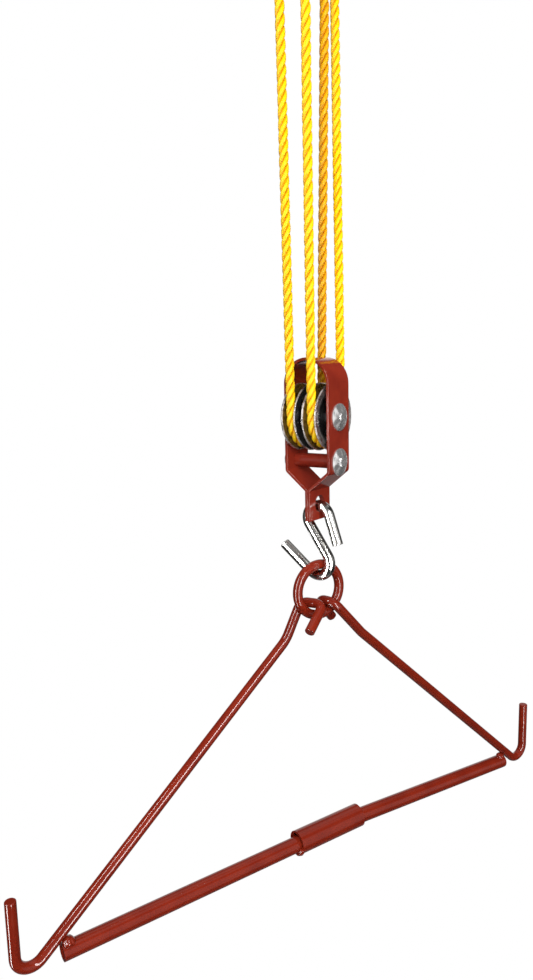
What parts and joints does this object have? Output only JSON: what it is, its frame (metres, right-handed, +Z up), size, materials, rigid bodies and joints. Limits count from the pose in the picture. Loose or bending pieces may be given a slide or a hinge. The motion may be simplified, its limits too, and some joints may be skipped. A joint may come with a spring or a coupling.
{
  "type": "rope hoist with gambrel",
  "caption": "Hanging rope block and tackle: double sheave blocks, zinc S-hooks, welded ring and a gambrel bar with J-hook ends.",
  "frame": {"origin": "the seat inside the top S-hook's open bend, the point the hoist hangs from", "axes": "+Z up; X along the gambrel's spreader bar; Y across it. The block axles lie 70 degrees clockwise of X seen from above"},
  "size_m": [0.5189, 0.0738, 0.8931],
  "materials": {
    "rope": "glossy twisted polypropylene",
    "zinc_wire": "bright zinc plate",
    "bright_zinc": "bright zinc plate",
    "pressed_steel": "pressed steel, tarnished groove",
    "red_paint": "glossy red-brown paint"
  },
  "bodies": {
    "top_hook": {"top_s_hook": "zinc_wire"},
    "head_block": {"head_strap": "red_paint", "head_axle_bolt": "bright_zinc", "head_axle_nut": "bright_zinc", "head_cross_bolt": "bright_zinc", "head_cross_nut": "bright_zinc", "head_spacer_tube": "red_paint", "head_washer_near": "bright_zinc", "head_washer_far": "bright_zinc", "head_axle_collar": "bright_zinc", "rope_wrap_head_a": "rope", "rope_wrap_head_b": "rope", "rope_dead_end": "rope", "rope_pull_end": "rope", "rope_run_dead": "rope", "rope_run_1": "rope", "rope_run_2": "rope", "rope_run_3": "rope"},
    "head_sheave_a": {"head_sheave_a_half_near": "pressed_steel", "head_sheave_a_half_far": "pressed_steel", "head_sheave_a_hub": "bright_zinc"},
    "head_sheave_b": {"head_sheave_b_half_near": "pressed_steel", "head_sheave_b_half_far": "pressed_steel", "head_sheave_b_hub": "bright_zinc"},
    "lower_block": {"lower_strap": "red_paint", "lower_axle_bolt": "bright_zinc", "lower_axle_nut": "bright_zinc", "lower_cross_bolt": "bright_zinc", "lower_cross_nut": "bright_zinc", "lower_spacer_tube": "red_paint", "lower_washer_near": "bright_zinc", "lower_washer_far": "bright_zinc", "lower_axle_collar": "bright_zinc", "rope_wrap_lower_a": "rope", "rope_wrap_lower_b": "rope"},
    "lower_sheave_a": {"lower_sheave_a_half_near": "pressed_steel", "lower_sheave_a_half_far": "pressed_steel", "lower_sheave_a_hub": "bright_zinc"},
    "lower_sheave_b": {"lower_sheave_b_half_near": "pressed_steel", "lower_sheave_b_half_far": "pressed_steel", "lower_sheave_b_hub": "bright_zinc"},
    "s_hook": {"lower_s_hook": "zinc_wire"},
    "ring": {"ring": "red_paint"},
    "left_half": {"left_arm": "red_paint", "left_bar": "red_paint", "coupling_sleeve": "red_paint", "left_weld": "red_paint", "sleeve_weld": "red_paint"},
    "right_half": {"right_arm": "red_paint", "right_bar": "red_paint", "right_weld": "red_paint"}
  },
  "joints": [
    {"name": "head_swing", "type": "hinge", "parent": "top_hook", "child": "head_block", "pos_m": [0, 0, -0.05237], "axis": [0.342, -0.9397, 0], "range_deg": [-12, 12]},
    {"name": "hoist_lift", "type": "slide", "parent": "head_block", "child": "lower_block", "axis": [0, 0, 1], "range_m": [0, 0.2], "deforming": ["rope_run_dead", "rope_run_1", "rope_run_2", "rope_run_3"]},
    {"name": "head_sheave_a_turn", "type": "hinge", "parent": "head_block", "child": "head_sheave_a", "pos_m": [0, 0, -0.1367], "axis": [0.342, -0.9397, 0], "continuous": true},
    {"name": "head_sheave_b_turn", "type": "hinge", "parent": "head_block", "child": "head_sheave_b", "pos_m": [0, 0, -0.1367], "axis": [0.342, -0.9397, 0], "continuous": true},
    {"name": "lower_sheave_a_turn", "type": "hinge", "parent": "lower_block", "child": "lower_sheave_a", "pos_m": [-0.00253, 0.00695, -0.5217], "axis": [0.342, -0.9397, 0], "continuous": true},
    {"name": "lower_sheave_b_turn", "type": "hinge", "parent": "lower_block", "child": "lower_sheave_b", "pos_m": [-0.00253, 0.00695, -0.5217], "axis": [0.342, -0.9397, 0], "continuous": true},
    {"name": "s_hook_swing", "type": "hinge", "parent": "lower_block", "child": "s_hook", "pos_m": [-0.00253, 0.00695, -0.59103], "axis": [0.342, -0.9397, 0], "range_deg": [-25, 25]},
    {"name": "ring_swing", "type": "hinge", "parent": "s_hook", "child": "ring", "pos_m": [-0.00253, 0.00695, -0.6477], "axis": [0.342, -0.9397, 0], "range_deg": [-15, 15]},
    {"name": "gambrel_swing", "type": "hinge", "parent": "ring", "child": "left_half", "pos_m": [-0.00253, 0.00695, -0.6793], "axis": [1, 0, 0], "range_deg": [-6, 6]},
    {"name": "bar_slip", "type": "slide", "parent": "left_half", "child": "right_half", "axis": [0.9995, 0, -0.033], "range_m": [-0.002, 0]}
  ],
  "couplings": [
    {"joint": "lower_sheave_a_turn", "follows": "hoist_lift", "rad_per_m": -47.619},
    {"joint": "head_sheave_a_turn", "follows": "hoist_lift", "rad_per_m": -55.556},
    {"joint": "lower_sheave_b_turn", "follows": "hoist_lift", "rad_per_m": -142.86},
    {"joint": "head_sheave_b_turn", "follows": "hoist_lift", "rad_per_m": -111.11}
  ]
}
